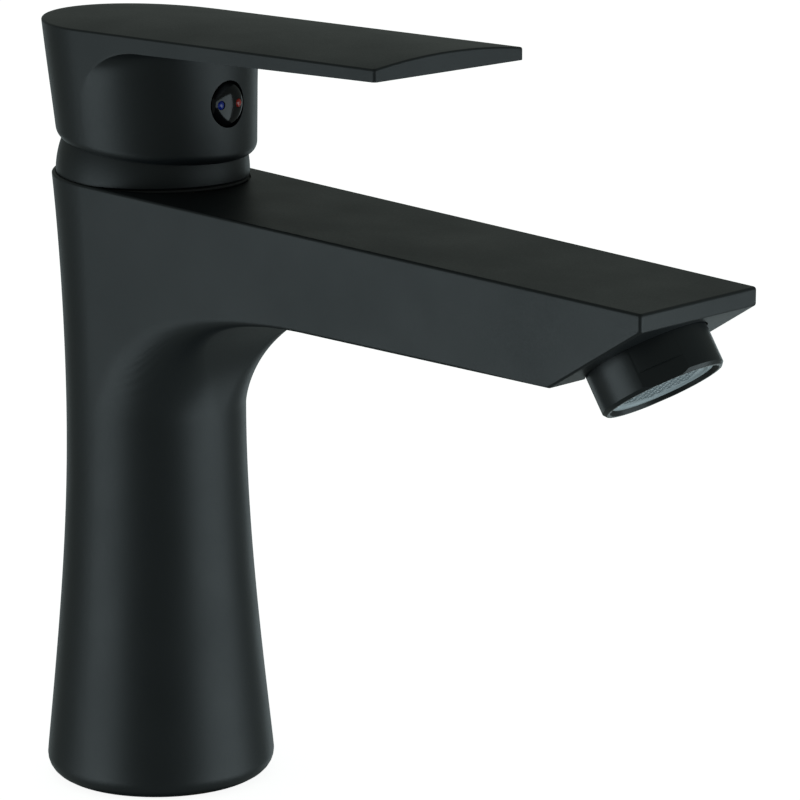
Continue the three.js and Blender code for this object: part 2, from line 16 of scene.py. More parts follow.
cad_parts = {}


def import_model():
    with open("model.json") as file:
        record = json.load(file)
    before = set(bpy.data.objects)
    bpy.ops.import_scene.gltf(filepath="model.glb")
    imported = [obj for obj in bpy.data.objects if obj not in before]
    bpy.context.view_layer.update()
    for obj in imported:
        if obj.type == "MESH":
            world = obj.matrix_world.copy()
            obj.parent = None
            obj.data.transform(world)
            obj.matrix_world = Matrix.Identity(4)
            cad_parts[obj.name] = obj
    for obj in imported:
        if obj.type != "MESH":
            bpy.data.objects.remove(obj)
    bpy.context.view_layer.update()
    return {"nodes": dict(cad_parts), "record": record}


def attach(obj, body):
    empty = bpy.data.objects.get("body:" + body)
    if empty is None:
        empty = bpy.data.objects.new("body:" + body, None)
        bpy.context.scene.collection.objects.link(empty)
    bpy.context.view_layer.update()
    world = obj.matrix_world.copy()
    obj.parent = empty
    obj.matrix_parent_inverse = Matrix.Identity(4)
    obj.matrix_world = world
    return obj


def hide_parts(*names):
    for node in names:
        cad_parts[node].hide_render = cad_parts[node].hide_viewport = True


MM = 0.001

# ---------- driving dimensions, in millimetres ----------
BASE_RADIUS = 25.5
BASE_EDGE_RADIUS = 5.0
WAIST_RADIUS = 19.5
WAIST_HEIGHT = 82.0
TOP_RADIUS = 21.7
TOP_HEIGHT = 133.35
TOP_TILT = 0.0625
TILT_START = 60.0
TILT_SPAN = 24.0
COVE_START = 84.0
SPOUT_REACH = 146.0
SPOUT_TIP_HALF_WIDTH = 18.6
UNDERSIDE_REACH = 62.0
UNDERSIDE_LEVEL = 113.1
UNDERSIDE_TIP_LEVEL = 115.2
TIP_FACE_HEIGHT = 3.6
OUTLET_TILT = math.radians(32)
OUTLET_REACH = 133.2
OUTLET_PROUD = 8.6
AERATOR_RADIUS = 12.75
EDGE = 0.6
PLAN_CORNER = 0.8
COVE_CONTROLS = [[WAIST_RADIUS + 0.3, 102], [34, 112.7]]
CORNER_START_POWER = 1.3
CORNER_END_POWER = 2.6

CLEARANCE = 0.3
PILLAR_WALL = 2.7
BASE_BORE_RADIUS = 17.2
BASE_BORE_TOP = 8.0
WEB_BOTTOM = 90.0
WEB_TOP = 104.0
WELL_RADIUS = 17.6
COLLAR_SEAT_RADIUS = 20.95
COLLAR_SEAT_LEVEL = 131.8
INLET_SPREAD = 7.0
INLET_BACK = 5.5
INLET_STEPS = ((4.6, 85, 98), (3.6, 90, 105))
PASSAGE_FLOOR = 98.6
STUD_RADIUS = 4.0
STUD_REACH = 12.0
STUD_BOSS_RADIUS = 7.6

PIVOT_HEIGHT = 134.0
DOME_RADIUS = 20.8
LEVER_REACH = 83.6
LEVER_TIP_HALF_WIDTH = 22.9
LEVER_TOP_HEIGHT = 167.8
LEVER_TOP_TILT = 0.014
CROWN_RADIUS = 180.0
REAR_FALL = 0.0022
REAR_FALL_START = -5.0
LEVER_UNDERSIDE = 162.6
LEVER_COVE_BOTTOM = 149.0
COVE_DEPTH = 4.6
SKIRT_LEVEL = 140.0
SKIRT_TILT = 0.115
SKIRT_RADIUS = 21.35
SKIRT_SHIFT = 1.4
RIM_LEVEL = 166.5
RIM_RADIUS = 23.0
RIM_SHIFT = -0.3
BUTTON_RADIUS = 4.7
BUTTON_HEIGHT = 150.3
DOT_SPREAD = 2.6

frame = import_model()
NODES = frame["nodes"]


# ---------- curves and fields ----------
def smooth(value):
    value = np.clip(value, 0, 1)
    return value * value * (3 - 2 * value)


def bezier(points, steps):
    a, b, c, d = np.array(points, float)
    t = np.linspace(0, 1, steps + 1)[:, None]
    return (1 - t) ** 3 * a + 3 * (1 - t) ** 2 * t * b + 3 * (1 - t) * t**2 * c + t**3 * d


def round_max(a, b, radius):
    """The intersection of two fields, with the edge between them rounded."""
    outside = np.hypot(np.maximum(a + radius, 0), np.maximum(b + radius, 0))
    return np.minimum(np.maximum(a, b), -radius) + outside


class Outline:
    """The front and lower outline seen from the side, as [reach, level] points with the corner
    radius that a level section has there. The solid lies on the left of the path."""

    def __init__(self, points, corners):
        self.points = np.array(points, float)
        self.corners = np.array(corners, float)
        self.start = self.points[:-1]
        self.step = np.diff(self.points, axis=0)
        self.square = (self.step**2).sum(1)

    def measure(self, reach, level):
        """Signed distance from the outline, below 0 inside, and the nearest point's corner radius."""
        distance = np.empty(len(reach))
        corner = np.empty(len(reach))
        chunk = 4000
        for low in range(0, len(reach), chunk):
            part = slice(low, low + chunk)
            x = reach[part, None] - self.start[:, 0]
            y = level[part, None] - self.start[:, 1]
            along = np.clip((x * self.step[:, 0] + y * self.step[:, 1]) / self.square, 0, 1)
            off = (x - along * self.step[:, 0]) ** 2 + (y - along * self.step[:, 1]) ** 2
            nearest = off.argmin(1)
            row = np.arange(len(nearest))
            step = self.step[nearest]
            left = step[:, 0] * y[row, nearest] - step[:, 1] * x[row, nearest]
            distance[part] = np.where(left > 0, -1, 1) * np.sqrt(off[row, nearest])
            share = along[row, nearest]
            corner[part] = (1 - share) * self.corners[nearest] + share * self.corners[nearest + 1]
        return distance, corner


def bent(points, radius, steps=4):
    """An open path with each inner corner replaced by an arc."""
    points = [np.array(p, float) for p in points]
    path = [points[0]]
    for before, here, after in zip(points, points[1:], points[2:]):
        back = (before - here) / np.linalg.norm(before - here)
        ahead = (after - here) / np.linalg.norm(after - here)
        half = math.acos(np.clip(back @ ahead, -1, 1)) / 2
        reach = radius / math.tan(half)
        centre = here + (back + ahead) / np.linalg.norm(back + ahead) * radius / math.sin(half)
        first, last = here + back * reach - centre, here + ahead * reach - centre
        for i in range(steps + 1):
            t = i / steps
            spoke = (1 - t) * first + t * last
            path.append(centre + spoke / np.linalg.norm(spoke) * radius)
    return path + [points[-1]]


def thinned(path, spacing):
    """A path resampled so that no step is longer than the spacing."""
    out = [path[0]]
    for here, there in zip(path, path[1:]):
        count = max(1, math.ceil(np.linalg.norm(there - here) / spacing))
        out += [here + (there - here) * (i + 1) / count for i in range(count)]
    return np.array(out)


def settle(points, field, rounds=4):
    """Moves points along the field's slope until they lie on its surface."""
    points = points.copy()
    nudge, flattest, longest_move = 0.01, 0.2, 2
    for _ in range(rounds):
        value = field(points)
        slope = np.empty_like(points)
        for axis in range(3):
            nearby = points.copy()
            nearby[:, axis] += nudge
            slope[:, axis] = (field(nearby) - value) / nudge
        size = np.maximum((slope**2).sum(1), flattest)
        points -= np.clip(value / size, -longest_move, longest_move)[:, None] * slope
    return points


# ---------- lofts ----------
REAR_COLUMNS = 60
QUARTER_COLUMNS = 52
CORNER_BONUS = 30.0
CROWN_SHARES = (0.12, 0.28, 0.46, 0.64, 0.82, 0.98)


def section(radius, shift, front, corner, half_width, inset=0.0):
    """One level's [across, reach] outline: a half circle behind, then side, corner and front edge.
    Columns are shared out by length, with a bonus for the corners. An inset leaves a corner at
    least a tenth of its radius."""
    corner = min(corner, radius) - min(inset, corner * 0.9)
    front = front - inset
    radius = radius - inset
    angles = np.pi * np.arange(REAR_COLUMNS) / REAR_COLUMNS
    rear = np.stack([radius * np.cos(angles), shift - radius * np.sin(angles)], 1)
    side = max(front - corner - shift, 0)
    at_corner = half_width(max(front - corner, shift)) - inset
    edge = max(at_corner - corner, 0)
    total = side + corner * math.pi / 2 + CORNER_BONUS + edge
    place = np.arange(QUARTER_COLUMNS + 1) / QUARTER_COLUMNS * total
    across, reach = [], []
    for p in place:
        if p <= side:
            across.append(half_width(shift + p) - inset)
            reach.append(shift + p)
        elif p <= total - edge:
            turn = (p - side) / (total - edge - side) * math.pi / 2
            across.append(at_corner - corner + corner * math.cos(turn))
            reach.append(front - corner + corner * math.sin(turn))
        else:
            across.append(total - p)
            reach.append(front)
    quarter = np.stack([across, reach], 1)
    far = quarter * [-1, 1]
    return np.concatenate([rear, far, quarter[-2:0:-1]])


def placed(outline, level, tilt):
    return np.column_stack([outline[:, 0], -outline[:, 1], level - tilt * outline[:, 1]])


def loft(name, rows, field, crown=None):
    """A closed mesh through the rows, settled on the field. Where a crown is given, more rows close
    in on its spine."""
    around = len(rows[0])
    points = settle(np.concatenate(rows), field)
    if crown is not None:
        rim = points[-around:]
        spine = crown(rim)
        cap = [rim + (spine - rim) * share for share in CROWN_SHARES]
        points = np.concatenate([points, settle(np.concatenate(cap), field)])
    return lofted(name, points, around)


def lofted(name, points, around):
    """Joins rows of the same length, lowest first, and caps both ends."""
    count = len(points) // around
    faces = []
    for row in range(count - 1):
        for i in range(around):
            j = (i + 1) % around
            low, high = row * around, (row + 1) * around
            faces.append((low + i, low + j, high + j, high + i))
    faces.append(tuple(reversed(range(around))))
    faces.append(tuple((count - 1) * around + i for i in range(around)))
    return solid(name, points, faces)


# ---------- mesh helpers ----------
def solid(name, points, faces):
    mesh = bpy.data.meshes.new(name)
    mesh.from_pydata([tuple(float(v) * MM for v in p) for p in points], [], faces)
    bm = bmesh.new()
    bm.from_mesh(mesh)
    bmesh.ops.remove_doubles(bm, verts=bm.verts, dist=0.002 * MM)
    bmesh.ops.dissolve_degenerate(bm, edges=bm.edges, dist=0.001 * MM)
    bmesh.ops.recalc_face_normals(bm, faces=bm.faces)
    bm.to_mesh(mesh)
    bm.free()
    piece = bpy.data.objects.new(name, mesh)
    bpy.context.scene.collection.objects.link(piece)
    return piece


def softened(profile, radius, steps=4):
    """A closed profile with each corner turned into a small arc, as far as its sides allow."""
    corners = [np.array(p, float) for p in profile]
    path = []
    for i, here in enumerate(corners):
        before, after = corners[i - 1], corners[(i + 1) % len(corners)]
        back, ahead = before - here, after - here
        room = min(np.linalg.norm(back), np.linalg.norm(ahead)) * 0.45
        back, ahead = back / np.linalg.norm(back), ahead / np.linalg.norm(ahead)
        half = math.acos(np.clip(back @ ahead, -1, 1)) / 2
        if half > math.radians(84):
            path.append(here)
            continue
        size = min(radius, room * math.tan(half))
        centre = here + (back + ahead) / np.linalg.norm(back + ahead) * size / math.sin(half)
        first = here + back * size / math.tan(half) - centre
        last = here + ahead * size / math.tan(half) - centre
        for k in range(steps + 1):
            spoke = (1 - k / steps) * first + k / steps * last
            path.append(centre + spoke / np.linalg.norm(spoke) * size)
    return path


def lathed(name, profile, segments=128):
    """A round solid about Z from a closed [radius, height] profile. Points on the axis merge."""
    angles = 2 * np.pi * np.arange(segments) / segments
    rim = np.stack([np.cos(angles), np.sin(angles)], 1)
    points = np.concatenate([np.column_stack([rim * r, np.full(segments, z)]) for r, z in profile])
    faces = []
    count = len(profile)
    for row in range(count):
        for i in range(segments):
            j = (i + 1) % segments
            low, high = row * segments, (row + 1) % count * segments
            faces.append((low + i, low + j, high + j, high + i))
    return solid(name, points, faces)


def arc(radius, centre, start, end, steps):
    """[radius, height] points on a circle, angles in degrees from the horizontal."""
    angles = np.radians(np.linspace(start, end, steps + 1))
    return [(centre[0] + radius * math.cos(a), centre[1] + radius * math.sin(a)) for a in angles]


def rod(name, radius, bottom, top, segments=64):
    return lathed(name, [(0, bottom), (radius, bottom), (radius, top), (0, top)], segments)


def block(name, low, high):
    corners = list(itertools.product(*zip(low, high)))
    faces = [(0, 1, 3, 2), (4, 6, 7, 5), (0, 4, 5, 1), (2, 3, 7, 6), (0, 2, 6, 4), (1, 5, 7, 3)]
    return solid(name, corners, faces)


def sheath(count):
    """The faces between two outlines of as many points, with both ends closed."""
    faces = [tuple(range(count)), tuple(range(count, 2 * count))]
    return faces + [(i, (i + 1) % count, count + (i + 1) % count, count + i) for i in range(count)]


def prism(name, outline, bottom, top):
    count = len(outline)
    points = [(x, y, bottom) for x, y in outline] + [(x, y, top) for x, y in outline]
    return solid(name, points, sheath(count))


def shifted(piece, x=0.0, y=0.0, z=0.0):
    piece.data.transform(Matrix.Translation(Vector((x, y, z)) * MM))
    return piece


def facing_front(piece):
    """Lays a piece drawn along +Z along -Y, at the button's height."""
    piece.data.transform(Matrix.Rotation(math.pi / 2, 4, "X"))
    return shifted(piece, z=BUTTON_HEIGHT)


def on_outlet_axis(piece):
    """Places a piece drawn about Z with z = 0 on the tip's slope and -Z leaving the outlet."""
    piece.data.transform(Matrix.Rotation(-OUTLET_TILT, 4, "X"))
    return shifted(piece, y=-OUTLET_REACH, z=slope_height(OUTLET_REACH))


def combine(piece, operation, *tools):
    for tool in tools:
        boolean = piece.modifiers.new(operation, "BOOLEAN")
        boolean.operation = operation
        boolean.solver = "MANIFOLD"
        boolean.object = tool
        apply_modifiers(piece)
        bpy.data.objects.remove(tool)
    return piece


def apply_modifiers(piece):
    graph = bpy.context.evaluated_depsgraph_get()
    made = bpy.data.meshes.new_from_object(piece.evaluated_get(graph))
    piece.modifiers.clear()
    old = piece.data
    piece.data = made
    made.name = piece.name
    bpy.data.meshes.remove(old)


def shaded(piece, angle=38):
    """Smooth shading that keeps real edges and lets flat faces stay flat."""
    mesh = piece.data
    for polygon in mesh.polygons:
        polygon.use_smooth = True
    mesh.set_sharp_from_angle(angle=math.radians(angle))
    weighted = piece.modifiers.new("weighted", "WEIGHTED_NORMAL")
    weighted.mode = "FACE_AREA"
    weighted.weight = 50
    weighted.keep_sharp = True
    apply_modifiers(piece)
    return piece


# ---------- faucet body ----------
WAIST = [WAIST_RADIUS, WAIST_HEIGHT]
PILLAR = np.concatenate([
    bezier([[BASE_RADIUS, 0], [22.3, 30], [WAIST_RADIUS, 55], WAIST], 60),
    bezier([WAIST, [WAIST_RADIUS, 100], [20.4, 119], [TOP_RADIUS, TOP_HEIGHT]], 60)[1:],
])


def pillar_radius(level):
    return np.interp(level, PILLAR[:, 1], PILLAR[:, 0])


def body_tilt(level):
    return TOP_TILT * smooth((level - TILT_START) / TILT_SPAN)


def slope_height(reach):
    bottom = TOP_HEIGHT - TOP_TILT * SPOUT_REACH - TIP_FACE_HEIGHT
    return bottom + (reach - SPOUT_REACH) * math.tan(OUTLET_TILT)


def underside_level(reach):
    share = (reach - UNDERSIDE_REACH) / (SPOUT_REACH - UNDERSIDE_REACH)
    return UNDERSIDE_LEVEL + (UNDERSIDE_TIP_LEVEL - UNDERSIDE_LEVEL) * share


def body_outline():
    """The pillar's front, the cove, the spout's underside, the tip's slope and its face. The path
    ends above the top, which the field cuts off. Halving finds where the slope meets the underside."""
    cove_steps, above_top = 70, 6
    levels = np.linspace(0, COVE_START, 60)
    pillar = np.column_stack([pillar_radius(levels), levels])
    ends = [[WAIST_RADIUS, COVE_START], [UNDERSIDE_REACH, UNDERSIDE_LEVEL]]
    cove = bezier([ends[0], *COVE_CONTROLS, ends[1]], cove_steps)[1:]
    share = np.linspace(0, 1, cove_steps + 1)[1:]
    narrowing = (1 - share**CORNER_START_POWER) ** CORNER_END_POWER
    low, high = UNDERSIDE_REACH, SPOUT_REACH
    for _ in range(40):
        meeting = (low + high) / 2
        if slope_height(meeting) + TOP_TILT * meeting < underside_level(meeting):
            low = meeting
        else:
            high = meeting
    tip = bent(
        [
            cove[-1],
            (meeting, underside_level(meeting)),
            (SPOUT_REACH, slope_height(SPOUT_REACH) + TOP_TILT * SPOUT_REACH),
            (SPOUT_REACH, TOP_HEIGHT + above_top),
        ],
        EDGE,
    )[1:]
    points = np.concatenate([pillar, cove, tip])
    corners = np.concatenate([
        pillar_radius(levels),
        PLAN_CORNER + (WAIST_RADIUS - PLAN_CORNER) * narrowing,
        np.full(len(tip), PLAN_CORNER),
    ])
    return Outline(points, corners)


BODY_OUTLINE = body_outline()


def body_half_width(reach, radius, corner):
    taper = (1 - (np.minimum(corner, radius) / radius) ** 4) * reach / SPOUT_REACH
    return radius + (np.minimum(SPOUT_TIP_HALF_WIDTH, radius) - radius) * taper


def body_field(points):
    """The casting as a field, below 0 inside. A few rounds find the level of a tilted section."""
    across, reach, height = np.abs(points[:, 0]), -points[:, 1], points[:, 2]
    level = height + TOP_TILT * reach
    for _ in range(6):
        level = height + body_tilt(level) * reach
    radius = pillar_radius(level)
    distance, corner = BODY_OUTLINE.measure(reach, level)
    corner = np.minimum(corner, radius)
    side = round_max(across - body_half_width(reach, radius, corner), distance, corner)
    wall = np.where(reach > 0, side, np.hypot(across, reach) - radius)
    whole = round_max(wall, height - TOP_HEIGHT + TOP_TILT * reach, EDGE)
    return round_max(whole, -height, BASE_EDGE_RADIUS)


def body_rows():
    rows = []

    def add(level, front, corner, inset=0.0):
        radius = float(pillar_radius(level))

        def half(reach):
            return float(body_half_width(reach, radius, corner))

        outline = section(radius, 0.0, front, corner, half, inset)
        rows.append(placed(outline, level, body_tilt(level)))

    for angle in np.radians(np.arange(0, 85, 12)):
        level = BASE_EDGE_RADIUS * (1 - math.cos(angle))
        inset = BASE_EDGE_RADIUS * (1 - math.sin(angle))
        add(level, float(pillar_radius(level)), float(pillar_radius(level)), inset)
    path = np.column_stack([BODY_OUTLINE.points, BODY_OUTLINE.corners])
    path = thinned(list(path[path[:, 1] >= BASE_EDGE_RADIUS + 1]), 2.4)
    cap_start = TOP_HEIGHT - EDGE
    for front, level, corner in path:
        if level < cap_start - 0.2:
            add(level, front, corner)
    for angle in np.radians(np.arange(0, 91, 18)):
        level = cap_start + EDGE * math.sin(angle)
        add(level, SPOUT_REACH, PLAN_CORNER, EDGE * (1 - math.cos(angle)))
    return rows


def inner_profile():
    """The hollow of the pillar, open at the foot."""
    levels = np.linspace(BASE_BORE_TOP + 4, WEB_BOTTOM - 2, 12)
    curve = [(float(pillar_radius(level)) - PILLAR_WALL, level) for level in levels]
    bore = [(0, -1), (BASE_BORE_RADIUS, -1), (BASE_BORE_RADIUS, BASE_BORE_TOP)]
    return bore + curve + [(0, WEB_BOTTOM)]


def faucet_body():
    body = loft("body_casting", body_rows(), body_field)
    inlets = [
        shifted(rod("way", radius, bottom, top, 48), x=side * INLET_SPREAD, y=INLET_BACK)
        for side in (-1, 1)
        for radius, bottom, top in INLET_STEPS
    ]
    stud_boss = shifted(rod("boss", STUD_BOSS_RADIUS, 6, 34), y=-STUD_REACH)
    hollow = combine(lathed("hollow", inner_profile()), "DIFFERENCE", stud_boss)
    above = 140
    seat = softened([
        (0, WEB_TOP), (WELL_RADIUS, WEB_TOP), (WELL_RADIUS, COLLAR_SEAT_LEVEL),
        (COLLAR_SEAT_RADIUS, COLLAR_SEAT_LEVEL), (COLLAR_SEAT_RADIUS, above), (0, above),
    ], 0.01, 1)
    gasket_groove = lathed("groove", [(18.7, -1), (20.3, -1), (20.3, 2), (18.7, 2)])
    stud_hole = shifted(rod("hole", STUD_RADIUS + CLEARANCE, -5, 30, 48), y=-STUD_REACH)
    bore, shoulder, end, throat = AERATOR_RADIUS + CLEARANCE, 5.2, 8, 7
    outlet = on_outlet_axis(lathed("outlet", [
        (0, -20), (bore, -20), (bore, shoulder), (throat, shoulder), (throat, end), (0, end),
    ]))
    riser = block("riser", (-6, -23.4, PASSAGE_FLOOR), (6, -19.4, 120))
    crossing = block("crossing", (-4.5, -20, PASSAGE_FLOOR), (4.5, -6, PASSAGE_FLOOR + 4))
    mixed_port = shifted(rod("port", 3.6, 99, 105, 48), y=-9.5)
    combine(body, "DIFFERENCE", hollow, lathed("seat", seat), gasket_groove, stud_hole, *inlets)
    combine(body, "DIFFERENCE", waterway(), riser, crossing, mixed_port, outlet)
    return shaded(body)


def waterway():
    """The hollow along the spout, from above the riser to the outlet."""
    rear, front, wall = 19.4, 124.0, 2.5
    outline = [(rear, 113.6), (55, 113.8), (100, 112.4), (front, 115.8)]
    outline += [(reach, TOP_HEIGHT - TOP_TILT * reach - wall) for reach in (front, rear)]
    rear_half_width, narrowing = 17.2, 1.6
    points = []
    for side in (-1, 1):
        for reach, height in outline:
            half = rear_half_width - (reach - rear) / (front - rear) * narrowing
            points.append((side * half, -reach, height))
    return solid("waterway", points, sheath(len(outline)))


# ---------- lever handle ----------
RIM_ROUND = 2.4
LEVER_EDGE = 0.45
SEAM_STEP = 0.004
SIDE_COLUMNS = 12
FRONT_COLUMNS = 44
LEAST_SIDE = 3.0
SKIRT_OVERLAP = 1.2
SPINE_REAR = 2.0
SPINE_TIP_GAP = 0.8 * LEVER_TIP_HALF_WIDTH


def handle_tilt(level):
    share = (level - SKIRT_LEVEL) / (LEVER_UNDERSIDE - SKIRT_LEVEL)
    return SKIRT_TILT * (1 - smooth(share))


def handle_radius(level):
    share = (level - SKIRT_LEVEL) / (RIM_LEVEL - SKIRT_LEVEL)
    return SKIRT_RADIUS + (RIM_RADIUS - SKIRT_RADIUS) * share


def handle_shift(level):
    share = (level - SKIRT_LEVEL) / (RIM_LEVEL - SKIRT_LEVEL)
    return SKIRT_SHIFT + (RIM_SHIFT - SKIRT_SHIFT) * share


def lever_half_width(reach, radius, shift):
    return radius + (LEVER_TIP_HALF_WIDTH - radius) * (reach - shift) / (LEVER_REACH - shift)


def skirt_outline(level, depth, inset=0.0):
    """One level of the skirt: a half circle behind, the lever's side planes, and a front arc that
    starts where it cuts them. `depth` is how far the arc bulges, so one as deep as the radius is
    round, and a flatter one has straighter sides. The skirt stays a seam's step inside the blade."""
    radius = handle_radius(level) - SEAM_STEP - inset
    shift = handle_shift(level)
    front = shift + radius
    depth = min(depth - inset, radius)
    blend = 1 - (depth / radius) ** 4
    bow = (radius**2 + depth**2) / (2 * depth)
    crease = max(front - depth, shift + LEAST_SIDE)
    angles = np.pi * np.arange(REAR_COLUMNS) / REAR_COLUMNS
    rear = np.stack([radius * np.cos(angles), shift - radius * np.sin(angles)], 1)
    reach = shift + (crease - shift) * np.arange(SIDE_COLUMNS) / SIDE_COLUMNS
    flat = radius + (lever_half_width(reach, radius, shift) - radius) * blend
    bowed = np.sqrt(np.maximum(bow**2 - (reach - front + bow) ** 2, 0))
    beyond = reach > front - depth
    side = np.stack([np.where(beyond, np.minimum(flat, bowed), flat), reach], 1)
    span = math.acos(np.clip((crease - front + bow) / bow, -1, 1))
    turns = span * (1 - np.arange(FRONT_COLUMNS + 1) / FRONT_COLUMNS)
    arch = np.stack([bow * np.sin(turns), front - bow + bow * np.cos(turns)], 1)
    quarter = np.concatenate([side, arch])
    return np.concatenate([rear, quarter * [-1, 1], quarter[-2:0:-1]])


def skirt():
    """The rounded rim, the straight wall, and the cove that flattens into the blade's underside."""
    rows = []

    def add(level, depth, inset=0.0):
        rows.append(placed(skirt_outline(level, depth, inset), level, handle_tilt(level)))

    for angle in np.radians(np.linspace(0, 90, 11)):
        level = SKIRT_LEVEL + RIM_ROUND * (1 - math.cos(angle))
        add(level, handle_radius(level), RIM_ROUND * (1 - math.sin(angle)))
    for level in np.linspace(SKIRT_LEVEL + RIM_ROUND, LEVER_COVE_BOTTOM, 6)[1:-1]:
        add(level, handle_radius(level))
    for angle in np.radians(np.linspace(0, 90, 31)):
        level = LEVER_COVE_BOTTOM + (LEVER_UNDERSIDE - LEVER_COVE_BOTTOM) * math.sin(angle)
        add(level, COVE_DEPTH + (handle_radius(level) - COVE_DEPTH) * math.cos(angle))
    rows.append(rows[-1] + [0, 0, SKIRT_OVERLAP])
    return lofted("skirt", np.concatenate(rows), len(rows[0]))


def crown_height(across, reach):
    """The lever's top: a long cylinder that leans forwards and falls away a little at the rear."""
    fall = LEVER_TOP_TILT * reach + REAR_FALL * np.maximum(REAR_FALL_START - reach, 0) ** 2
    return LEVER_TOP_HEIGHT - fall - CROWN_RADIUS + np.sqrt(CROWN_RADIUS**2 - across**2)


def blade_field(points):
    across, reach, height = np.abs(points[:, 0]), -points[:, 1], points[:, 2]
    radius, shift = handle_radius(height), handle_shift(height)
    side = round_max(across - lever_half_width(reach, radius, shift), reach - LEVER_REACH, PLAN_CORNER)
    wall = np.where(reach > shift, side, np.hypot(across, reach - shift) - radius)
    return round_max(wall, height - crown_height(across, reach), LEVER_EDGE)


def blade_rows():
    rows = []
    rim = float(crown_height(RIM_RADIUS, LEVER_REACH)) - LEVER_EDGE

    def add(level, inset=0.0):
        radius, shift = handle_radius(level), handle_shift(level)

        def half(reach):
            return float(lever_half_width(reach, radius, shift))

        outline = section(radius, shift, LEVER_REACH, PLAN_CORNER, half, inset)
        rows.append(placed(outline, level, 0.0))

    for level in np.linspace(LEVER_UNDERSIDE, rim - 0.3, 3):
        add(level)
    for angle in np.radians(np.linspace(0, 90, 9)):
        add(RIM_LEVEL, LEVER_EDGE * (1 - math.cos(angle)))
        row = rows[-1]
        row[:, 2] = crown_height(np.abs(row[:, 0]), -row[:, 1]) - LEVER_EDGE * (1 - math.sin(angle))
    return rows


def lever_spine(rim):
    """The line along the lever's crown that the top rows close in on."""
    spine = np.zeros_like(rim)
    spine[:, 1] = -np.clip(-rim[:, 1], SPINE_REAR, LEVER_REACH - SPINE_TIP_GAP)
    spine[:, 2] = crown_height(0, -spine[:, 1])
    return spine


def lever_handle():
    blade = loft("lever_casting", blade_rows(), blade_field, crown=lever_spine)
    handle = combine(blade, "UNION", skirt())
    inner = DOME_RADIUS + CLEARANCE
    dome = arc(inner, (0, PIVOT_HEIGHT), -86, 86, 60)
    dome = [(0.0, PIVOT_HEIGHT - inner)] + dome + [(0.0, PIVOT_HEIGHT + inner)]
    cavity = combine(lathed("cavity", dome), "UNION", rod("pocket", 14.5, 146, 160.5))
    combine(cavity, "DIFFERENCE", rod("boss", 7.2, 143, 161))
    stem = 3.8
    socket = block("socket", (-stem, -stem, 135), (stem, stem, 154))
    outside = 30
    screw_hole = facing_front(rod("screw_hole", 2.5, 0, outside, 48))
    rim, floor_reach = BUTTON_RADIUS + CLEARANCE, 20.2
    seat = softened([(0, floor_reach), (rim, floor_reach), (rim, outside), (0, outside)], 0.02, 1)
    combine(handle, "DIFFERENCE", cavity, socket, screw_hole, facing_front(lathed("seat", seat, 96)))
    return shaded(handle, 13)


# ---------- collar and seals ----------
def dome_collar():
    mouth, wall = 14, 2
    inner = DOME_RADIUS - wall
    outer_end = math.degrees(math.acos(mouth / DOME_RADIUS))
    inner_end = math.degrees(math.acos(mouth / inner))
    centre = (0, PIVOT_HEIGHT)
    profile = [(18.2, 132.1), (19.6, 132.1), (19.6, 133.0), (20.6, 133.0)]
    profile += arc(DOME_RADIUS, centre, -2, outer_end, 40)
    profile += arc(inner, centre, inner_end, 14.5, 20)
    return shaded(lathed("collar_dome", profile, 160), 30)


def collar_o_ring():
    profile = [(19.9, 132.1), (20.65, 132.1), (20.65, 132.85), (19.9, 132.85)]
    return shaded(lathed("collar_seal", softened(profile, 0.35), 128))


def base_gasket():
    return shaded(lathed("foot_seal", softened([(19, 0), (20, 0), (20, 1.7), (19, 1.7)], 0.3), 128))


# ---------- index button ----------
BUTTON_SEAT = 20.5
DOT_FLOOR = 22.1
BUTTON_RIM = 21.9
BUTTON_BULGE = 1.3
BULGE_POWER = 2.4
NECK_RADIUS = 2.1
NECK_START = 15.5
DOT_RADIUS = 0.93
DOT_HOLE_RADIUS = 0.98
DOT_EDGE = 0.25
DOT_FLATTENING = 0.45


def button_dome(radius):
    """Reach of the button's polished face at a distance from its middle."""
    return BUTTON_RIM + BUTTON_BULGE * math.sqrt(max(0, 1 - (radius / BUTTON_RADIUS) ** BULGE_POWER))


def index_button():
    profile = [(0, NECK_START), (NECK_RADIUS, NECK_START), (NECK_RADIUS, BUTTON_SEAT)]
    profile += [(BUTTON_RADIUS, BUTTON_SEAT), (BUTTON_RADIUS, BUTTON_RIM)]
    radii = BUTTON_RADIUS * np.sin(np.radians(np.linspace(84, 0, 22)))
    profile += [(float(r), button_dome(float(r))) for r in radii]
    button = facing_front(lathed("button_cap", profile, 96))
    holes = [
        facing_front(shifted(rod("hole", DOT_HOLE_RADIUS, DOT_FLOOR, 26, 40), x=side * DOT_SPREAD))
        for side in (-1, 1)
    ]
    return shaded(combine(button, "DIFFERENCE", *holes), 30)


def index_dot(name, side):
    """A drop of enamel that stands a little proud of the button's face."""
    top = button_dome(DOT_SPREAD)
    floor_level = DOT_FLOOR + 0.02
    edge = top - DOT_EDGE
    drop = [(r, edge + (h - edge) * DOT_FLATTENING) for r, h in arc(DOT_RADIUS, (0, edge), 8, 90, 10)]
    profile = [(0, floor_level), (DOT_RADIUS, floor_level), (DOT_RADIUS, edge)] + drop
    dot = shifted(lathed(name, profile, 40), x=side * DOT_SPREAD)
    return shaded(facing_front(dot), 40)


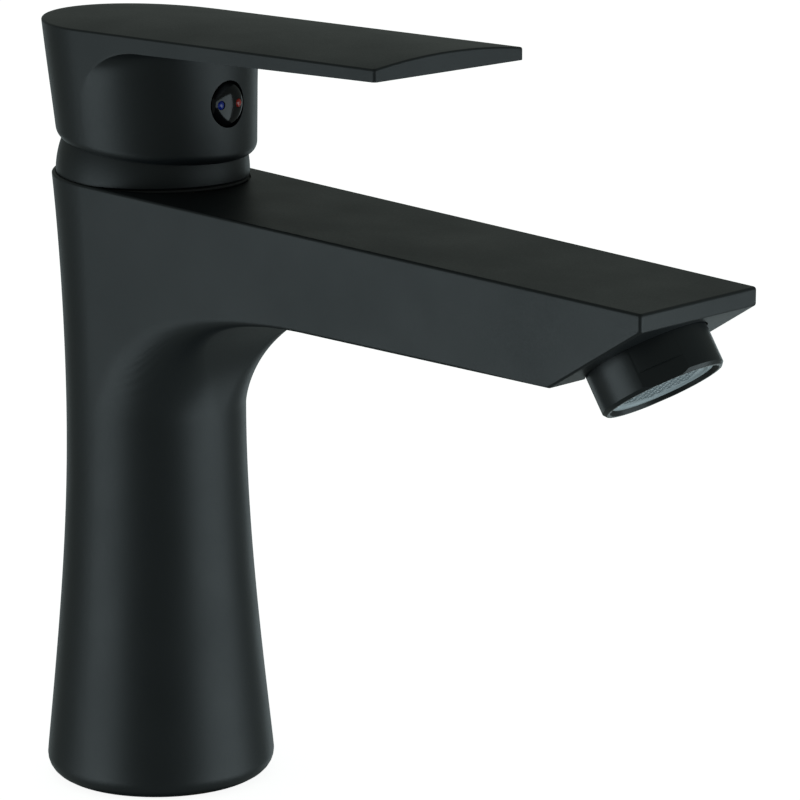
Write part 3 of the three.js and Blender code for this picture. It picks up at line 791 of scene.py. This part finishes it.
# ---------- aerator ----------
def aerator_shroud():
    low = -OUTLET_PROUD
    profile = softened([
        (11.5, low), (AERATOR_RADIUS - 0.55, low), (AERATOR_RADIUS, low + 0.7),
        (AERATOR_RADIUS, 3), (11, 3), (11, low + 1.3),
    ], 0.16, 3)
    shroud = lathed("aerator_case", profile, 160)
    half_width, depth, height = 5, 0.9, 3.6
    flats = []
    for turn in (-45, 135):
        near = (-half_width, -20, low - 1)
        flat = block("flat", near, (half_width, -AERATOR_RADIUS + depth, low + height))
        flat.data.transform(Matrix.Rotation(math.radians(turn), 4, "Z"))
        flats.append(flat)
    return on_outlet_axis(shaded(combine(shroud, "DIFFERENCE", *flats), 30))


def hexagon(radius, x, y):
    angles = np.radians(30 + 60 * np.arange(6))
    return [(x + radius * math.cos(a), y + radius * math.sin(a)) for a in angles]


def aerator_insert():
    """The jet former: a rimmed disc of straight hexagonal ways."""
    floor_level, top = -OUTLET_PROUD + 0.75, -OUTLET_PROUD + 5
    web_level = floor_level + 0.35
    pitch, way_radius, reach, half_rows = 1.9, 0.88, 8.1, 6
    profile = softened([
        (0, web_level), (9.2, web_level), (9.5, floor_level),
        (10.6, floor_level), (10.6, top), (0, top),
    ], 0.08, 2)
    profile = [(0, web_level)] + [p for p in profile if p[0] > 0.3] + [(0, top)]
    insert = lathed("jet_former", profile, 128)
    rows = range(-half_rows, half_rows + 1)
    ways = []
    for row in rows:
        for column in rows:
            x, y = (column + 0.5 * (row % 2)) * pitch, row * pitch * math.sqrt(3) / 2
            if math.hypot(x, y) < reach:
                ways.append(prism("way", hexagon(way_radius, x, y), floor_level - 1, top + 1))
    return on_outlet_axis(shaded(combine(insert, "DIFFERENCE", joined("ways", ways)), 30))


def joined(name, pieces):
    """One object in place of several, which don't touch."""
    bm = bmesh.new()
    for piece in pieces:
        bm.from_mesh(piece.data)
        bpy.data.objects.remove(piece)
    mesh = bpy.data.meshes.new(name)
    bm.to_mesh(mesh)
    bm.free()
    whole = bpy.data.objects.new(name, mesh)
    bpy.context.scene.collection.objects.link(whole)
    return whole


# ---------- fixing kit under the deck ----------
STUD_TOP = 28.0
STUD_BOTTOM = -52.0
THREAD_PITCH = 1.25
THREAD_DEPTH = 0.62


def mounting_stud():
    """M8 threaded rod: rings of points whose radius follows the turning thread."""
    columns, step = 40, THREAD_PITCH / 10
    heights = np.arange(STUD_BOTTOM, STUD_TOP + step / 2, step)
    angles = 2 * np.pi * np.arange(columns) / columns
    points = []
    for height in heights:
        phase = (height / THREAD_PITCH - angles / (2 * np.pi)) % 1
        groove = np.clip(1.35 - np.abs(phase - 0.5) * 3.4, 0, 1)
        end = min(height - STUD_BOTTOM, STUD_TOP - height)
        radius = np.minimum(STUD_RADIUS - THREAD_DEPTH * groove, STUD_RADIUS - 0.9 + end)
        ring = [radius * np.cos(angles), radius * np.sin(angles), np.full(columns, height)]
        points.append(np.column_stack(ring))
    stud = lofted("threaded_stud", np.concatenate(points), columns)
    return shifted(shaded(stud, 30), y=-STUD_REACH)


def horseshoe(name, bottom, top, edge):
    radius, slot_half_width, slot_end = 24.0, 11.0, -4.0
    mouth = math.asin(slot_half_width / radius)
    angles = np.linspace(math.pi / 2 + mouth, 2.5 * math.pi - mouth, 90)
    outline = [(slot_half_width, slot_end), (-slot_half_width, slot_end)]
    outline += [(radius * math.cos(a), radius * math.sin(a)) for a in angles]
    plate = prism(name, softened(outline, 1.2, 5), bottom, top)
    hole = shifted(rod("hole", STUD_RADIUS + CLEARANCE, bottom - 1, top + 1, 64), y=-STUD_REACH)
    combine(plate, "DIFFERENCE", hole)
    return shaded(bevelled(plate, edge), 30)


def bevelled(piece, width, segments=3, angle=40):
    bevel = piece.modifiers.new("edge", "BEVEL")
    bevel.width = width * MM
    bevel.segments = segments
    bevel.limit_method = "ANGLE"
    bevel.angle_limit = math.radians(angle)
    bevel.miter_outer = "MITER_ARC"
    apply_modifiers(piece)
    return piece


def clamp_nut():
    top, length, across = -20.1, 14.0, 7.5
    bottom = top - length
    nut = prism("long_nut", hexagon(across, 0, 0), bottom, top)
    nut.data.transform(Matrix.Rotation(math.radians(-30), 4, "Z"))
    face, corner, chamfer = 6.2, 7.6, 0.8
    cone = lathed("chamfer", [
        (0, bottom), (face, bottom), (corner, bottom + chamfer),
        (corner, top - chamfer), (face, top), (0, top),
    ], 96)
    combine(nut, "INTERSECT", cone)
    hole, flare, sink = STUD_RADIUS + CLEARANCE, 5.0, 0.6
    bore = lathed("bore", [
        (0, bottom - 1), (flare, bottom - 1), (hole, bottom + sink),
        (hole, top - sink), (flare, top + 1), (0, top + 1),
    ], 64)
    combine(nut, "DIFFERENCE", bore)
    return shifted(shaded(nut, 20), y=-STUD_REACH)


# ---------- finishes ----------
def finish(
    name, color, roughness, metallic=0.0, grain=2600.0,
    bump=0.05, mottle=0.1, spread=0.06, depth=0.02, shine=0.5,
):
    """A procedural finish: mottled colour, uneven roughness and a fine grained surface."""
    patches = 55
    made = bpy.data.materials.new(name)
    made.use_nodes = True
    nodes, links = made.node_tree.nodes, made.node_tree.links
    shader = nodes["Principled BSDF"]
    shader.inputs["Metallic"].default_value = metallic
    shader.inputs["Specular IOR Level"].default_value = shine
    place = nodes.new("ShaderNodeTexCoord").outputs["Object"]

    def noise(scale, detail):
        node = nodes.new("ShaderNodeTexNoise")
        node.inputs["Scale"].default_value = scale
        node.inputs["Detail"].default_value = detail
        links.new(place, node.inputs["Vector"])
        return node.outputs["Fac"]

    broad, fine = noise(patches, 4), noise(grain, 3)
    ramp = nodes.new("ShaderNodeValToRGB")
    ramp.color_ramp.elements[0].position = 0.3
    ramp.color_ramp.elements[1].position = 0.7
    ramp.color_ramp.elements[0].color = [c * (1 - mottle) for c in color] + [1]
    ramp.color_ramp.elements[1].color = [min(1, c * (1 + mottle)) for c in color] + [1]
    mixed = nodes.new("ShaderNodeMath")
    mixed.operation = "MULTIPLY_ADD"
    mixed.inputs[1].default_value = 0.5
    links.new(broad, mixed.inputs[0])
    halved = nodes.new("ShaderNodeMath")
    halved.operation = "MULTIPLY"
    halved.inputs[1].default_value = 0.5
    links.new(fine, halved.inputs[0])
    links.new(halved.outputs[0], mixed.inputs[2])
    links.new(mixed.outputs[0], ramp.inputs["Fac"])
    links.new(ramp.outputs["Color"], shader.inputs["Base Color"])
    uneven = nodes.new("ShaderNodeMapRange")
    uneven.inputs["From Min"].default_value = 0.3
    uneven.inputs["From Max"].default_value = 0.7
    uneven.inputs["To Min"].default_value = roughness - spread
    uneven.inputs["To Max"].default_value = roughness + spread
    links.new(mixed.outputs[0], uneven.inputs["Value"])
    links.new(uneven.outputs["Result"], shader.inputs["Roughness"])
    relief = nodes.new("ShaderNodeBump")
    relief.inputs["Strength"].default_value = bump
    relief.inputs["Distance"].default_value = depth * MM
    links.new(fine, relief.inputs["Height"])
    links.new(relief.outputs["Normal"], shader.inputs["Normal"])
    return made


COAT_COLOR = (0.008, 0.0105, 0.0125)
FINISHES = {
    "matt_black_coat": finish("matt black coat", COAT_COLOR, 0.45, bump=0.2, depth=0.03),
    "aerator_coat": finish("aerator coat", COAT_COLOR, 0.35, bump=0.1),
    "gloss_black": finish("gloss black", (0.004, 0.004, 0.005), 0.1, bump=0.01, spread=0.02, shine=0.3),
    "black_rubber": finish("black rubber", (0.012, 0.012, 0.012), 0.75, grain=1500, bump=0.4, depth=0.05),
    "brass": finish("brass", (0.62, 0.44, 0.19), 0.3, metallic=1.0, grain=900, bump=0.08),
    "steel": finish("zinc plated steel", (0.56, 0.57, 0.58), 0.33, metallic=1.0, grain=1100, bump=0.1),
    "cartridge_white": finish("white moulding", (0.72, 0.72, 0.68), 0.45, bump=0.08, mottle=0.03),
    "cartridge_blue": finish("blue moulding", (0.05, 0.14, 0.38), 0.45, bump=0.08, mottle=0.05),
    "ceramic": finish("lapped ceramic", (0.8, 0.78, 0.7), 0.15, bump=0.02, mottle=0.02, spread=0.03),
    "grey_plastic": finish("grey moulding", (0.5, 0.56, 0.6), 0.4, bump=0.06, mottle=0.05),
    "cold_blue": finish("blue enamel", (0.012, 0.035, 0.35), 0.12, bump=0.02, spread=0.03),
    "hot_red": finish("red enamel", (0.5, 0.03, 0.02), 0.12, bump=0.02, spread=0.03),
}
SLOTS = {part["node"]: part["material_slot"] for part in frame["record"]["subparts"]}


def dress(piece, finish_name):
    piece.data.materials.clear()
    piece.data.materials.append(FINISHES[finish_name])


def stand_for(piece, node, finish_name=None):
    """The piece takes a CAD node's place, its body and its slot."""
    dress(piece, finish_name or SLOTS[node])
    bodies = frame["record"]["behaviour"]["bodies"]
    body = next(name for name, members in bodies.items() if node in members)
    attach(piece, body)
    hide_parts(node)


for node, shape in NODES.items():
    dress(shape, SLOTS[node])

stand_for(faucet_body(), "faucet_body")
stand_for(lever_handle(), "lever_handle")
stand_for(dome_collar(), "dome_collar")
stand_for(collar_o_ring(), "collar_o_ring")
stand_for(base_gasket(), "base_gasket")
stand_for(index_button(), "index_button")
stand_for(index_dot("cold_mark", -1), "cold_dot")
stand_for(index_dot("hot_mark", 1), "hot_dot")
stand_for(aerator_shroud(), "aerator_shroud", "aerator_coat")
stand_for(aerator_insert(), "aerator_insert")
stand_for(mounting_stud(), "mounting_stud")
stand_for(horseshoe("rubber_horseshoe", -17.5, -15.0, 0.4), "clamp_rubber")
stand_for(horseshoe("steel_horseshoe", -19.8, -17.8, 0.25), "clamp_washer")
stand_for(clamp_nut(), "clamp_nut")


# ---------- stage, light and camera ----------
def plane(name, size, height):
    half = size / 2
    mesh = bpy.data.meshes.new(name)
    corners = [(x * half, y * half, height) for x, y in ((-1, -1), (1, -1), (1, 1), (-1, 1))]
    mesh.from_pydata(corners, [], [(0, 1, 2, 3)])
    piece = bpy.data.objects.new(name, mesh)
    bpy.context.scene.collection.objects.link(piece)
    return piece


def floor():
    """An evenly pale floor that neither shades nor lights the faucet."""
    ground = plane("floor", 24, -0.0001)
    pale = bpy.data.materials.new("pale floor")
    pale.use_nodes = True
    shader = pale.node_tree.nodes["Principled BSDF"]
    shader.inputs["Base Color"].default_value = (0.93, 0.93, 0.93, 1)
    shader.inputs["Roughness"].default_value = 0.9
    shader.inputs["Specular IOR Level"].default_value = 0.1
    shader.inputs["Emission Color"].default_value = (1, 1, 1, 1)
    shader.inputs["Emission Strength"].default_value = 0.9
    ground.data.materials.append(pale)
    ground.visible_diffuse = False
    ground.visible_glossy = False
    ground.visible_shadow = False


def softbox(name, place, target, size, power, color):
    light = bpy.data.lights.new(name, "AREA")
    light.shape = "RECTANGLE"
    light.size, light.size_y = size
    light.energy = power
    light.color = color
    lamp = bpy.data.objects.new(name, light)
    lamp.location = place
    direction = Vector(target) - Vector(place)
    lamp.rotation_euler = direction.to_track_quat("-Z", "Y").to_euler()
    lamp.visible_camera = False
    bpy.context.scene.collection.objects.link(lamp)


def world(strength, color):
    """Dim, faintly tinted surroundings, with plain white behind the object."""
    sky = bpy.data.worlds.new("studio")
    sky.use_nodes = True
    nodes, links = sky.node_tree.nodes, sky.node_tree.links
    dim = nodes["Background"]
    dim.inputs["Color"].default_value = (*color, 1)
    dim.inputs["Strength"].default_value = strength
    white = nodes.new("ShaderNodeBackground")
    white.inputs["Color"].default_value = (1, 1, 1, 1)
    seen = nodes.new("ShaderNodeLightPath").outputs["Is Camera Ray"]
    mix = nodes.new("ShaderNodeMixShader")
    links.new(seen, mix.inputs["Fac"])
    links.new(dim.outputs["Background"], mix.inputs[1])
    links.new(white.outputs["Background"], mix.inputs[2])
    links.new(mix.outputs["Shader"], nodes["World Output"].inputs["Surface"])
    bpy.context.scene.world = sky


def camera():
    yaw, pitch = math.radians(41.04), math.radians(12.57)
    ahead = Vector((math.cos(pitch) * math.cos(yaw), math.cos(pitch) * math.sin(yaw), -math.sin(pitch)))
    lens = bpy.data.cameras.new("camera")
    lens.sensor_width = 36
    lens.lens = 171.2
    lens.clip_start = 0.05
    eye = bpy.data.objects.new("camera", lens)
    eye.location = (-0.5737, -0.5696, 0.2633)
    eye.rotation_euler = ahead.to_track_quat("-Z", "Y").to_euler()
    bpy.context.scene.collection.objects.link(eye)
    bpy.context.scene.camera = eye


floor()
world(0.16, (0.87, 1.0, 0.93))
COOL = (0.84, 1.0, 1.05)
GREENISH = (0.9, 1.0, 0.9)
PILLAR_MIDDLE = (0, -0.03, 0.1)
softbox("left box", (-0.927, 0.375, -0.2), (0, 0, 0.1), (0.85, 0.8), 3.1, COOL)
softbox("right box", (0.375, -0.927, -0.2), PILLAR_MIDDLE, (1.0, 0.8), 3.9, COOL)
softbox("back box", (0.85, 0.75, 0.5), (0, -0.05, 0.15), (1.5, 0.5), 0.18, GREENISH)
softbox("right rim box", (0.97, 0.26, -0.2), PILLAR_MIDDLE, (0.35, 0.6), 0.5, COOL)
softbox("left rim box", (0.39, 0.92, -0.2), PILLAR_MIDDLE, (0.35, 0.6), 0.25, COOL)
camera()
bpy.context.scene.view_settings.view_transform = "Standard"
